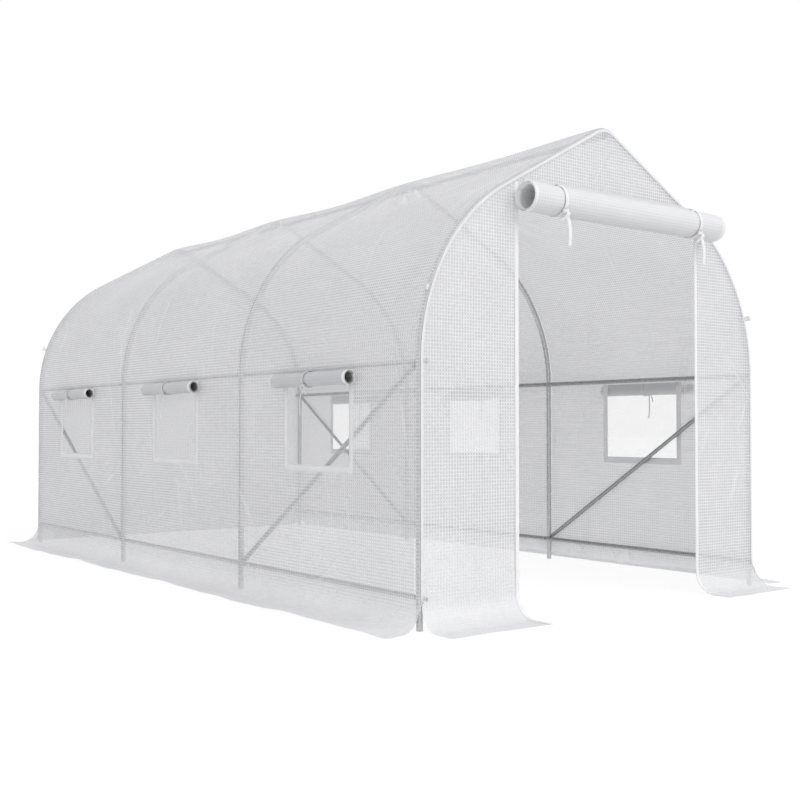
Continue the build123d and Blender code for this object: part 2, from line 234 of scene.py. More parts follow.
# --- Materials ---
class Nodes:
    """Short spelling for building the node tree of a material or a world."""

    def __init__(self, owner, output="OutputMaterial"):
        self.owner = owner
        owner.use_nodes = True
        self.tree = owner.node_tree
        self.tree.nodes.clear()
        self.out = self.node(output)

    def put(self, socket, value):
        if isinstance(value, bpy.types.NodeSocket):
            self.tree.links.new(value, socket)
        else:
            socket.default_value = value

    def node(self, kind, *values, **settings):
        """Node with its properties, its named inputs (in_...) and its first inputs set."""
        n = self.tree.nodes.new("ShaderNode" + kind)
        for key, value in settings.items():
            if key.startswith("in_"):
                self.put(n.inputs[key[3:].replace("_", " ")], value)
            else:
                setattr(n, key, value)
        for socket, value in zip(n.inputs, values):
            self.put(socket, value)
        return n

    def math(self, operation, *values):
        return self.node("Math", *values, operation=operation).outputs[0]

    def add(self, a, b):
        return self.math("ADD", a, b)

    def sub(self, a, b):
        return self.math("SUBTRACT", a, b)

    def mul(self, a, b):
        return self.math("MULTIPLY", a, b)

    def div(self, a, b):
        return self.math("DIVIDE", a, b)

    def most(self, a, b):
        return self.math("MAXIMUM", a, b)

    def size(self, a):
        return self.math("ABSOLUTE", a)

    def fold(self, value, span):
        """Distance to the nearest multiple of twice a span."""
        return self.math("PINGPONG", value, span)

    def ramp(self, value, low, high, to_low=0, to_high=1, kind="SMOOTHSTEP"):
        """Value carried from one range to another and held at its ends."""
        n = self.node("MapRange", value, low, high, to_low, to_high, interpolation_type=kind)
        return n.outputs["Result"]

    def mix(self, factor, a, b):
        """Mix of two colours."""
        n = self.node("Mix", factor, data_type="RGBA")
        self.put(n.inputs[6], a)
        self.put(n.inputs[7], b)
        return n.outputs[2]

    def blend(self, factor, a, b):
        """Mix of two shaders."""
        return self.node("MixShader", factor, a.outputs[0], b.outputs[0])

    def noise(self, vector, scale, detail, rough, distortion=0):
        n = self.node("TexNoise", in_Vector=vector, in_Scale=scale, in_Detail=detail,
                      in_Roughness=rough, in_Distortion=distortion)
        return n.outputs["Fac"]

    def scaled(self, vector, x, y, z=1):
        return self.node("Mapping", in_Vector=vector, in_Scale=(x, y, z)).outputs["Vector"]

    def combine(self, x, y, z):
        return self.node("CombineXYZ", x, y, z).outputs[0]

    def bump(self, height, strength, distance):
        n = self.node("Bump", in_Height=height, in_Strength=strength, in_Distance=distance)
        return n.outputs["Normal"]

    def uv(self):
        """UV vector with its two coordinates, which are metres on the sheet."""
        uv = self.node("UVMap", uv_map="UVMap").outputs["UV"]
        split = self.node("SeparateXYZ", uv).outputs
        return uv, split[0], split[1]

    def place(self):
        return self.node("TexCoord").outputs["Object"]

    def line(self, value, pitch, width, soft):
        """Mask of evenly spaced lines across a coordinate."""
        half = width / pitch / 2
        wave = self.fold(self.div(value, pitch), 0.5)
        return self.ramp(wave, half * (1 - soft), half * (1 + soft), 1, 0)

    def net(self, u, v, pitch, width_u, width_v, soft):
        """Mask of a grid of lines, and of the places where they cross."""
        across = self.line(u, pitch, width_u, soft)
        along = self.line(v, pitch, width_v, soft)
        return self.most(across, along), self.mul(across, along)

    def principled(self, color, rough, normal, **more):
        return self.node("BsdfPrincipled", in_Base_Color=color, in_Roughness=rough,
                         in_Normal=normal, **more)

    def surface(self, shader):
        self.tree.links.new(shader.outputs[0], self.out.inputs["Surface"])
        return self.owner


def new_material(name):
    return Nodes(bpy.data.materials.new(name))


def shaded(tint, factor=1):
    """RGBA colour of a tint, made lighter or darker."""
    return (*[min(1, c * factor) for c in tint], 1)


def sheer(n, color, normal, opacity, rough, see_through=0.17, specular=0.35):
    """Thin translucent sheet: part clear, part diffusing on both sides."""
    front = n.principled(color, rough, normal, in_Specular_IOR_Level=specular)
    back = n.node("BsdfTranslucent", in_Color=color, in_Normal=normal)
    body = n.blend(see_through, front, back)
    return n.surface(n.blend(opacity, n.node("BsdfTransparent"), body))


def slanted(n, u, v, angle, along, across, seed):
    """Noise drawn out into soft lines at an angle."""
    c, s = cos(angle), sin(angle)
    a = n.add(n.mul(u, c), n.mul(v, s))
    b = n.sub(n.mul(v, c), n.mul(u, s))
    return n.noise(n.combine(n.mul(a, along), n.mul(b, across), seed), 1, 2, 0.45, 0.3)


def roof_streaks(n, u, v):
    """Pull lines that fan out over the roof from the top of each hoop."""
    from_end = n.add(v, HALF_LENGTH)
    across = n.fold(from_end, SPACING / 2)
    down = n.size(u)
    angle = n.math("ARCTAN2", across, down)
    radius = n.math("SQRT", n.add(n.mul(across, across), n.mul(down, down)))
    hoop = n.math("FLOOR", n.add(n.div(from_end, SPACING), 0.5))
    half = n.math("FLOOR", n.div(from_end, SPACING / 2))
    other = n.add(n.mul(hoop, 7.3), n.mul(half, 3.1))
    place = n.combine(n.mul(angle, 15), n.mul(radius, 3.2),
                      n.add(other, n.mul(n.math("SIGN", u), 11)))
    streak = n.ramp(n.noise(place, 1, 2, 0.5, 0.25), 0.51, 0.70, 0, 0.8)
    return n.mul(streak, n.mul(n.ramp(radius, 0.14, 0.34), n.ramp(radius, 1, 0.40)))


def wall_streaks(n, u, v):
    """Sparse slanting creases low on the walls."""
    low = n.size(u)
    zone = n.mul(n.ramp(low, 1.70, 2.1), n.ramp(low, 2.52, 2.36))
    lines = n.most(n.ramp(slanted(n, u, v, 0.75, 1.7, 19, 3), 0.64, 0.76, 0, 0.55),
                   n.ramp(slanted(n, u, v, -1.05, 1.9, 17, 9), 0.65, 0.77, 0, 0.55))
    return n.mul(zone, lines)


def cover_streaks(n, u, v):
    """All streaks of the cover, with faint ones everywhere."""
    faint = n.ramp(slanted(n, u, v, 0.25, 1.6, 18, 5), 0.63, 0.74, 0, 0.5)
    return n.most(n.most(roof_streaks(n, u, v), wall_streaks(n, u, v)), faint)


def hoop_contact(n, u, v):
    """Two thin lines along each hoop, where the film leaves the tube and turns clearer."""
    across = n.fold(n.add(v, HALF_LENGTH), SPACING / 2)
    lines = n.mul(n.ramp(across, 0.0145, 0.0125), n.ramp(across, 0.0055, 0.0085, -0.25, 1))
    return n.mul(lines, n.ramp(n.size(u), 2.42, 2.36))


def end_streaks(n, u, v):
    """Slanting creases of the end sheets, stronger towards the ground."""
    lines = n.most(n.ramp(slanted(n, u, v, 1.2, 2, 22, 2), 0.64, 0.74),
                   n.ramp(slanted(n, u, v, 2.2, 2, 22, 6), 0.66, 0.76))
    return n.mul(n.ramp(v, 1.3, 0.7, 0.15, 0.7), lines)


def film_material(name, skirt, streaks, tint, cell, thread, relief, contact=None):
    """Clear film laminated over a woven grid of opaque white threads, which fades on skirts."""
    n = new_material(name)
    uv, u, v = n.uv()
    on_ground = skirt(n, u, v)
    fade = n.ramp(on_ground, 0, 1, 1, 0.12)
    grid, cross = (n.mul(mask, fade) for mask in n.net(u, v, GRID_PITCH, 0.0050, 0.0044, 0.35))
    cloud = n.noise(n.place(), 2.2, 4, 0.6)
    crumple = n.noise(n.scaled(uv, 9, 5), 2.6, 5, 0.62, 1.4)
    fibre = n.noise(n.scaled(uv, 900, 260), 1, 2, 0.6)
    streak = streaks(n, u, v)
    base = n.mix(grid, shaded(tint, 0.995), shaded(tint, 1.01))
    base = n.mix(n.ramp(cross, 0, 1, 0, 0.5), base, shaded(tint, 1.05))
    base = n.mix(n.mul(streak, 0.65), base, (0.99, 0.99, 0.995, 1))
    # shade: random cloud tone times painted light, which makes the skirts 7% lighter for the
    # light the white floor throws on them.
    shade = n.mul(n.ramp(cloud, 0.3, 0.7, 0.97, 1.03), n.ramp(on_ground, 0, 1, 1, 1.07))
    tone = n.node("VectorMath", base, operation="SCALE", in_Scale=shade).outputs[0]
    opacity = n.ramp(grid, 0, 1, cell, thread, "LINEAR")
    for more in (n.mul(n.sub(fibre, 0.5), 0.10), n.ramp(crumple, 0.42, 0.75, 0, 0.08),
                 n.mul(streak, 0.16), n.mul(on_ground, 0.14)):
        opacity = n.add(opacity, more)
    if contact:
        opacity = n.sub(opacity, n.mul(contact(n, u, v), 0.30))
    height = n.add(n.mul(grid, relief), n.add(crumple, n.mul(streak, 0.8)))
    rough = n.ramp(crumple, 0.3, 0.8, 0.34, 0.5)
    return sheer(n, tone, n.bump(height, 0.7, 0.008), opacity, rough)


def hem_material(name, tint, width, stitch=0.0035):
    """Folded double film, nearly opaque, with a row of stitches near each edge."""
    n = new_material(name)
    uv, u, v = n.uv()
    dash = n.ramp(n.fold(n.div(u, stitch * 2), 0.5), 0.30, 0.34, 1, 0)
    row = n.ramp(n.size(n.sub(n.fold(n.div(v, width), 0.5), 0.12)), 0.018, 0.035, 1, 0)
    weave = n.noise(n.scaled(uv, 700, 700), 1, 2, 0.5)
    cloud = n.noise(n.scaled(uv, 14, 9), 1, 4, 0.6)
    base = n.mix(n.ramp(cloud, 0.3, 0.7), shaded(tint, 0.95), shaded(tint))
    base = n.mix(n.mul(n.mul(dash, row), 0.35), base, (0.62, 0.62, 0.63, 1))
    height = n.add(n.mul(weave, 0.15), n.sub(n.mul(cloud, 0.6), row))
    opacity = n.ramp(weave, 0.2, 0.8, 0.88, 0.97)
    return sheer(n, base, n.bump(height, 0.35, 0.0015), opacity, 0.5, 0.08)


def screen_material(name):
    """Fine white insect netting."""
    n = new_material(name)
    uv, u, v = n.uv()
    net, _ = n.net(u, v, 0.0016, 0.0005, 0.0005, 0.4)
    cloud = n.noise(n.scaled(uv, 12, 12), 1, 3, 0.5)
    opacity = n.add(n.ramp(net, 0, 1, 0.10, 0.38, "LINEAR"),
                    n.ramp(cloud, 0.3, 0.7, 0, 0.05))
    return sheer(n, (0.98, 0.98, 0.985, 1), n.bump(cloud, 0.3, 0.002), opacity, 0.6, 0.05, 0.2)


def roll_material(name, length, lap, inner, shade, painted_hollow_tone, tint, grid_strength):
    """Several layers of the film rolled up: opaque, with a faint grid, pale rims and inner turns
    tinted toward a painted tone: painted shade in a window roll's hollow, painted light in the
    door roll's hollow.
    """
    n = new_material(name)
    uv, u, v = n.uv()
    grid, _ = n.net(u, v, GRID_PITCH, 0.0045, 0.0045, 0.4)
    cloud = n.noise(n.scaled(uv, 8, 22), 1, 4, 0.6)
    fibre = n.noise(n.scaled(uv, 500, 500), 1, 2, 0.5)
    base = n.mix(n.mul(grid, grid_strength), shaded(tint, 0.93), shaded(tint, 1.06))
    base = n.mix(n.ramp(cloud, 0.35, 0.65, 0, 0.25), base, shaded(tint, 0.9))
    rim = n.ramp(n.size(u), length / 2 - 0.020, length / 2 - 0.012)
    rim = n.mul(rim, n.ramp(v, lap, lap + 0.01))
    base = n.mix(n.mul(rim, 0.8), base, (0.93, 0.93, 0.93, 1))
    # Inner turns tinted toward painted_hollow_tone by the share shade: painted shade for the dark
    # hollow of the window rolls, painted light for the pale hollow of the door roll.
    base = n.mix(n.ramp(v, inner, inner + 0.03, 0, shade), base, shaded(painted_hollow_tone))
    height = n.add(n.add(n.mul(grid, 0.25), n.mul(cloud, 0.8)), n.mul(fibre, 0.08))
    rough, normal = n.ramp(cloud, 0.3, 0.7, 0.38, 0.52), n.bump(height, 0.4, 0.002)
    return n.surface(n.principled(base, rough, normal, in_Specular_IOR_Level=0.4))


def tape_material(name, tint):
    """Woven white tape."""
    n = new_material(name)
    uv, u, v = n.uv()
    weave, _ = n.net(n.add(u, v), n.sub(u, v), 0.0012, 0.0006, 0.0006, 0.5)
    dirt = n.noise(n.scaled(uv, 60, 60), 1, 3, 0.5)
    base = n.mix(weave, shaded(tint, 0.86), shaded(tint))
    base = n.mix(n.ramp(dirt, 0.45, 0.8, 0, 0.3), base, shaded(tint, 0.9))
    return n.surface(n.principled(base, 0.75, n.bump(weave, 0.5, 0.0004), in_Sheen_Weight=0.2))


def steel_material(name, tint):
    """Galvanised tube: spangled zinc with fine drawn lines and a few dull spots."""
    n = new_material(name)
    place = n.place()
    cells = n.node("TexVoronoi", in_Vector=place, in_Scale=190)
    spangle = n.ramp(cells.outputs["Color"], 0.2, 0.8)
    drawn = n.noise(n.scaled(place, 900, 900, 60), 1, 2, 0.5)
    dull = n.noise(place, 9, 5, 0.65)
    base = n.mix(spangle, shaded(tint, 0.97), shaded(tint, 1.03))
    base = n.mix(n.ramp(dull, 0.55, 0.75, 0, 0.25), base, (0.40, 0.40, 0.41, 1))
    rough = n.add(n.ramp(spangle, 0, 1, 0.26, 0.30), n.ramp(dull, 0.5, 0.8, 0, 0.2))
    normal = n.bump(n.add(drawn, n.mul(spangle, 0.3)), 0.04, 0.0003)
    return n.surface(n.principled(base, rough, normal, in_Metallic=0.9))


FILM_MAT = film_material("cover_film", lambda n, u, v: n.ramp(n.size(u), 2.36, 2.52),
                         cover_streaks, (0.806, 0.806, 0.821), 0.57, 0.90, 0.03, hoop_contact)
# The end film's tint is a little darker than the cover's: painted shade that tones down the lit
# ends.
END_MAT = film_material("end_film", lambda n, u, v: n.ramp(v, 0.14, 0.02),
                        end_streaks, (0.802, 0.802, 0.816), 0.57, 0.91, 0.08)
HEM_MAT = hem_material("hem_fabric", (0.955, 0.955, 0.96), WINDOW_HEM)
SEAM_MAT = hem_material("seam_binding", (0.91, 0.91, 0.915), 0.013)
DOOR_HEM_MAT = hem_material("door_hem", (0.97, 0.97, 0.972), 0.02)
SCREEN_MAT = screen_material("screen_mesh")
# The window rolls' grey tint, darker than the door roll's, is painted shade. The colour before
# each tint is the painted hollow tone: painted shade for the window rolls, painted light for the
# door roll.
SHADED_WINDOW_ROLL_MAT = roll_material("rolled_film", WINDOW_ROLL_LENGTH, WINDOW_LAP, 0.36, 0.6,
                         (0.10, 0.10, 0.11), (0.60, 0.60, 0.62), 0.5)
DOOR_ROLL_MAT = roll_material("rolled_door_film", DOOR_ROLL_LENGTH, DOOR_LAP, 1.42, 0.23,
                              (0.96, 0.96, 0.97), (0.73, 0.73, 0.74), 1)
TAPE_MAT = tape_material("tie_tape", (0.90, 0.90, 0.90))
# The window ties are the door ties' tape made darker: painted shade.
SHADED_TIE_TAPE_MAT = tape_material("tie_tape_painted_shade", (0.74, 0.74, 0.75))
HOOP_MAT = steel_material("hoop_steel", (0.54, 0.545, 0.55))
RAIL_MAT = steel_material("rail_steel", (0.34, 0.345, 0.35))
BOLT_MAT = steel_material("screw_steel", (0.5, 0.5, 0.5))


# --- Shape of the cover ---
def profile(s, offset=FILM):
    """Point (x, z) and outward normal of the cover's right half, at a distance from the ridge."""
    s = np.asarray(s, float)
    x, z, nx, nz = (np.zeros_like(s) for _ in range(4))
    ridge_r, bow_r, wall_x = RIDGE_R + offset, BOW_R + offset, HALF_SPAN + offset
    m = s <= S1
    a = s[m] / (RIDGE_R + FILM)
    nx[m], nz[m] = np.sin(a), np.cos(a)
    x[m], z[m] = ridge_r * nx[m], RIDGE_CENTRE + ridge_r * nz[m]
    m = (s > S1) & (s <= S2)
    t = s[m] - S1
    nx[m], nz[m] = PITCH_SIN, PITCH_COS
    x[m] = ridge_r * PITCH_SIN + t * PITCH_COS
    z[m] = RIDGE_CENTRE + ridge_r * PITCH_COS - t * PITCH_SIN
    m = (s > S2) & (s <= S3)
    a = (pi / 2 - PITCH) - (s[m] - S2) / (BOW_R + FILM)
    nx[m], nz[m] = np.cos(a), np.sin(a)
    x[m], z[m] = BOW_X + bow_r * nx[m], EAVE + bow_r * nz[m]
    m = (s > S3) & (s <= S4)
    nx[m], nz[m] = 1, 0
    x[m], z[m] = wall_x, EAVE - (s[m] - S3)
    m = (s > S4) & (s <= S5)
    a = (s[m] - S4) / SKIRT_CURVE
    nx[m], nz[m] = np.cos(a), np.sin(a)
    x[m] = wall_x + SKIRT_CURVE - SKIRT_CURVE * np.cos(a)
    z[m] = SKIRT_TOP - SKIRT_CURVE * np.sin(a)
    m = s > S5
    nx[m], nz[m] = 0, 1
    x[m], z[m] = wall_x + SKIRT_CURVE + s[m] - S5, FILM_REST
    return x, z, nx, nz


def creases(u, v, table):
    """Height of a set of straight soft creases (place, direction, length, width, height)."""
    total = np.zeros_like(u)
    for u0, v0, angle, length, width, height in table:
        du, dv = u - u0, v - v0
        near = (np.abs(du) < 3 * length + 0.02) & (np.abs(dv) < 3 * length + 0.02)
        a = du[near] * cos(angle) + dv[near] * sin(angle)
        b = -du[near] * sin(angle) + dv[near] * cos(angle)
        total[near] += height * np.exp(-(b / width) ** 2 - (a / length) ** 2)
    return total


def waves(u, v, table):
    """Sum of a few slow sine waves (rates along u and v, phase, height)."""
    total = np.zeros_like(u)
    for ku, kv, phase, height in table:
        total += height * np.sin(ku * u + kv * v + phase)
    return total


def cover_creases(rng):
    """Creases that fan out from the hoop tops, slant low on the walls and lie on the bows."""
    table = []
    draw = rng.uniform
    for side, _ in SIDES:
        for y in HOOPS:
            for _ in range(13):
                fan = draw(-1.15, 1.15)
                start = draw(0.10, 0.42)
                length = draw(0.07, 0.20)
                u0 = 0.03 + (start + length) * cos(fan)
                v0 = y + (start + length) * sin(fan)
                if abs(v0) < HALF_LENGTH - 0.02:
                    table.append((side * u0, v0, fan if side > 0 else pi - fan, length,
                                  draw(0.010, 0.018), draw(-0.0022, 0.0016)))
        for _ in range(46):
            y = draw(-1.9, 1.9)
            u0 = draw(S3 + 0.35, S4 + 0.02)
            tilt = rng.choice((-1, 1)) * draw(0.35, 1.1)
            table.append((side * u0, y, tilt, draw(0.05, 0.16), draw(0.010, 0.02),
                          draw(-0.0022, 0.0022)))
        for _ in range(26):
            y = draw(-1.9, 1.9)
            u0 = draw(S2, S3 + 0.2)
            table.append((side * u0, y, draw(-0.6, 0.6) + rng.choice((0, pi / 2)),
                          draw(0.06, 0.2), draw(0.012, 0.024), draw(-0.0014, 0.0012)))
    return table


def between_hoops(y):
    """0 at each hoop, 1 half way between."""
    return np.sin(np.pi * np.clip((y + HALF_LENGTH) / SPACING, 0, 3)) ** 2


def make_cover():
    """The cover from skirt to skirt, with its windows cut out and its ends wrapped round."""
    window_rows = [S3 + EAVE - WINDOW_HEAD - WINDOW_SEAM, S3 + EAVE - WINDOW_SILL]
    half = spread([0, S1, S2, *window_rows, S4, S4 + 0.04, S5, S6], MESH_STEP)
    s = np.concatenate([-half[:0:-1], half])
    stops = [-HALF_LENGTH]
    for bay in BAYS:
        stops += [bay - WINDOW_W / 2, bay + WINDOW_W / 2]
    inner = spread(stops + [HALF_LENGTH], MESH_STEP)
    wrap = FILM * np.arange(1, 6) / 5
    col = np.concatenate([-HALF_LENGTH - wrap[::-1], inner, HALF_LENGTH + wrap])
    S, C = np.meshgrid(s, col, indexing="ij")
    A = np.abs(S)
    side = np.where(S < 0, -1.0, 1.0)

    # Plan: the wrap round the end hoops, the flare of the skirts and their round corners.
    over = unit((np.abs(C) - HALF_LENGTH) / FILM)
    bend = unit(1 - (A - S4) / 0.04)
    turn = over * bend * pi / 2
    skirt = unit((A - S4) / (S6 - S4))
    y_end = HALF_LENGTH + np.where(over > 0, FILM * np.sin(turn) + (1 - bend) * FILM * over, 0)
    y = np.where(np.abs(C) <= HALF_LENGTH, C, np.sign(C) * y_end)
    y = y * (1 + (SKIRT_FLARE * skirt - corner_inset(S6 - A, 0.018)) / HALF_LENGTH)

    # Sag between hoops and creases, held back at the end hoops, the skirts and the windows.
    slack = between_hoops(y)
    front_bay = np.where(y < HOOPS[1], 0.45, 1.0)
    drop = -RIDGE_SAG * np.exp(-(A / 0.35) ** 2) * slack * front_bay
    drop -= SLOPE_SAG * slack * np.exp(-((A - 0.55) / 0.45) ** 2)
    wall = unit((A - S3) / 0.3) * unit((S6 - A) / 0.3)
    slow = [(4.1, 2.3, 0.4, 0.0016), (-7.0, 5.1, 1.9, 0.0011), (2.2, -8.3, 4.0, 0.0009)]
    drop += slack * wall * waves(S, y, slow)
    lay = creases(S, y, cover_creases(random.Random(11)))
    lay = lay * (0.25 + 0.75 * unit(slack * 9))
    end_near = unit(np.abs(np.abs(y) - HALF_LENGTH) / 0.05)
    disp = (drop + lay) * np.where(over > 0, 0, end_near)
    disp = np.where(A > S4 + 0.05, 0, disp)
    mid_row, mid_half = sum(window_rows) / 2, (window_rows[1] - window_rows[0]) / 2
    for bay in BAYS:
        beyond_row = np.maximum(np.abs(A - mid_row) - mid_half, 0)
        beyond_side = np.maximum(np.abs(y - bay) - WINDOW_W / 2, 0)
        away = np.hypot(beyond_row, beyond_side) - WINDOW_HEM - 0.006
        disp = disp * unit(away / 0.09) ** 0.8

    x0, z0, nx, nz = profile(A, 0.0)
    x1, z1, _, _ = profile(A, FILM)
    px = side * (x0 + (x1 - x0) * np.cos(turn) + nx * disp)
    pz = z0 + (z1 - z0) * np.cos(turn) + nz * disp
    rates = [(0, 5.3, 0.3, 1), (0, 11.7, 2.1, 0.6), (0, 23.0, 1.2, 0.35)]
    ripple = waves(S * 0, y + side * 3, rates)
    lift = unit(skirt * 2 - 0.9) * (0.0035 + 0.0030 * ripple)
    pz = pz + np.where(A > S4, lift, 0)
    sway = waves(S, y + side, [(0, 3.1, 0.7, 1), (0, 8.2, 0, 0.5)])
    px = px + side * np.where(A > S4, skirt ** 2 * 0.004 * sway, 0)

    keep = np.ones((len(s) - 1, len(col) - 1), bool)
    mid_s, mid_col = np.abs(s[1:] + s[:-1]) / 2, (col[1:] + col[:-1]) / 2
    rows = (mid_s > window_rows[0]) & (mid_s < window_rows[1])
    for bay in BAYS:
        keep[np.ix_(rows, np.abs(mid_col - bay) < WINDOW_W / 2)] = False
    verts, uv = np.stack([px, y, pz], -1).reshape(-1, 3), np.stack([S, y], -1).reshape(-1, 2)
    obj = mesh_object("cover_sheet", verts, grid_faces(len(s), len(col), keep), uv, FILM_MAT)
    parts = "wall", "shoulder", "roof", "skirt"
    nodes = [f"{label}_{part}" for _, label in SIDES for part in parts]
    return dress(obj, "cover_film", "ridge_cover", *nodes)


# --- Sheets of the two ends ---
def outline_top(x):
    """Height of the tube's centreline above each x."""
    a = np.abs(np.asarray(x, float))
    ridge = RIDGE_CENTRE + np.sqrt(np.maximum(RIDGE_R ** 2 - a ** 2, 0))
    slope = SHOULDER_Z + (SHOULDER_X - a) * tan(PITCH)
    bow = EAVE + np.sqrt(np.maximum(BOW_R ** 2 - (a - BOW_X) ** 2, 0))
    return np.where(a < RIDGE_TANGENT, ridge, np.where(a < SHOULDER_X, slope, bow))


def end_columns(x0, x1, step=0.02):
    """Columns across an end sheet, closer together where the outline gets steep."""
    xs = set(np.round(spread([x0, x1], step), 5))
    for i in range(19):
        reach = BOW_X + BOW_R * cos(radians(BOW_DEGREES * i / 18))
        xs |= {round(x, 5) for x in (-reach, reach) if x0 < x < x1}
    xs = sorted(xs)
    out = [xs[0]]
    for x in xs[1:]:
        if x - out[-1] > 0.0008:
            out.append(x)
    out[-1] = x1
    return np.array(out)


def skirt_rows(xs, sign, widen):
    """Rows of an end sheet's ground skirt, widened by that much at its free ends."""
    curve_run = SKIRT_CURVE * pi / 2
    total = curve_run + SKIRT_REACH - SKIRT_TOP
    rows = []
    for t in np.linspace(total, 0, 14)[:-1]:
        if t > curve_run:
            out, z = SKIRT_CURVE + (t - curve_run), FILM_REST
        else:
            a = t / SKIRT_CURVE
            out, z = SKIRT_CURVE - SKIRT_CURVE * cos(a), SKIRT_TOP - SKIRT_CURVE * sin(a)
        x = xs.copy()
        for more, fixed in zip(widen, (-1, 0)):
            if more is not None:
                grow = (more * t / total - corner_inset(total - t, 0.010)) / (x[-1] - x[0])
                x = x[fixed] + (x - x[fixed]) * (1 + grow)
        ripple = waves(x, x * 0, [(14, 0, 0.5, 1), (31, 0, 2.0, 0.5)])
        z = z + max(0, t / total * 2 - 1) * (0.0008 + 0.0009 * ripple)
        rows.append((np.stack([x, np.full_like(x, sign * (FILM_FACE + out)), z], -1),
                     np.stack([x, np.full_like(x, SKIRT_TOP - t)], -1)))
    return rows


def end_panel(xs, low, high, sign, count, warp, widen=None):
    """Points and UVs of an end sheet between two lines, with a ground skirt where widened."""
    rows = [] if widen is None else skirt_rows(xs, sign, widen)
    for i in range(count + 1):
        z = low + (high - low) * i / count
        rows.append((np.stack([xs, sign * (FILM_FACE + warp(xs, z)), z], -1),
                     np.stack([xs, z], -1)))
    return (np.array(part) for part in zip(*rows))


def end_warp(rng):
    """Slight hollows and creases of an end sheet."""
    draw = rng.uniform
    table = [(draw(-0.95, 0.95), draw(0.15, 1.6), draw(-1.4, 1.4), draw(0.05, 0.14),
              draw(0.010, 0.02), draw(-0.0012, 0.0012)) for _ in range(40)]

    def warp(x, z):
        calm = unit((outline_top(x) - z) / 0.12)
        calm = calm * unit((HALF_SPAN - np.abs(x)) / 0.05)
        calm = calm * unit((z - 0.1) / 0.1)
        slow = [(5.0, 2.0, 0.3, 0.0010), (-3.0, 6.5, 2.2, 0.0010), (9.0, 4.0, 1.0, 0.0005)]
        return calm * (waves(x, z, slow) - 0.001 + creases(x, z, table))

    return warp


def make_end(name, sign, panels, nodes):
    """One end sheet, from panels of (left, right, foot, rows, skirt)."""
    warp = end_warp(random.Random(5 + sign))
    verts, uvs, faces = [], [], []
    for x0, x1, low, rows, skirt in panels:
        xs = end_columns(x0, x1)
        top = outline_top(xs)
        lows = np.minimum(np.full_like(xs, low), top - 0.012)
        P, UV = end_panel(xs, lows, top, sign, rows, warp, skirt)
        faces += grid_faces(len(P), len(xs), None, len(verts))
        verts += list(P.reshape(-1, 3))
        uvs += list(UV.reshape(-1, 2))
    return dress(mesh_object(name, verts, faces, uvs, END_MAT), "cover_film", *nodes)


def make_seams():
    """Sewn binding where the cover meets each end sheet, up one side and down the other."""
    s = spread([0, S1, S2, S3, S3 + EAVE - SKIRT_TOP], 0.03)
    s = np.concatenate([-s[:0:-1], s])
    x, z, nx, nz = profile(np.abs(s), -0.001)
    side = np.where(s < 0, -1, 1)
    normal = np.stack([side * nx, np.zeros_like(x), nz], -1)
    seams = []
    for name, sign in (("front_seam", -1), ("rear_seam", 1)):
        path = np.stack([side * x, np.full_like(x, sign * (FILM_FACE + 0.0006)), z], -1)
        seam = sweep(name, path, normal, (0, sign, 0), rounded(0.013, 0.0014, 2), SEAM_MAT)
        seams.append(dress(seam, "hem_fabric"))
    return seams


def make_door_hems():
    """Folded strips down both edges of the doorway, out along the skirts to their tips."""
    hems = []
    for name, x in (("door_hem_left", DOOR_LEFT - 0.010), ("door_hem_right", DOOR_RIGHT + 0.010)):
        top = min(DOOR_TOP + 0.012, float(outline_top(np.array([abs(x)]))[0]) - 0.012)
        path = [(x, -FILM_FACE, z) for z in np.linspace(top, SKIRT_TOP, 60)]
        for t in np.linspace(0, pi / 2, 12)[1:]:
            path.append((x, -FILM_FACE - SKIRT_CURVE + SKIRT_CURVE * cos(t),
                         SKIRT_TOP - SKIRT_CURVE * sin(t)))
        for t in np.linspace(0, SKIRT_REACH - SKIRT_TOP, 6)[1:]:
            path.append((x, -FILM_FACE - SKIRT_CURVE - t, 0.0022))
        hem = ribbon(name, path, (1, 0, 0), 0.020, 0.0026, DOOR_HEM_MAT)
        hems.append(dress(hem, "hem_fabric", "door_hems"))
    return hems


# --- Windows and rolled flaps ---
def make_hem_frame(name, node, side, y_mid):
    """Folded fabric frame round one window, with mitred corners."""
    section = [(a + WINDOW_HEM / 2, b) for a, b in rounded(WINDOW_HEM, 0.0024, 2)]
    m = len(section)
    foot, top = -WINDOW_H / 2, WINDOW_H / 2 + WINDOW_SEAM + 0.004
    corners = [(-1, top), (-1, foot), (1, foot), (1, top)]
    loop = []
    for (a0, b0), (a1, b1) in zip(corners, corners[1:]):
        loop += [(a0 + (a1 - a0) * i / 12, b0 + (b1 - b0) * i / 12) for i in range(12)]
    loop.append(corners[-1])
    verts, uvs = [], []
    for j, (cy, z) in enumerate(loop):
        low = z <= foot + 1e-6
        for k in range(m + 1):
            a, b = section[k % m]
            verts.append((side * (WALL_X + b), y_mid + cy * (WINDOW_W / 2 + a),
                          WINDOW_MID + z - (a if low else 0)))
            uvs.append((j * 0.035, a))
    faces = grid_faces(len(loop), m + 1) + end_caps(len(loop), m)
    return dress(mesh_object(name, verts, faces, uvs, HEM_MAT), "hem_fabric", node)


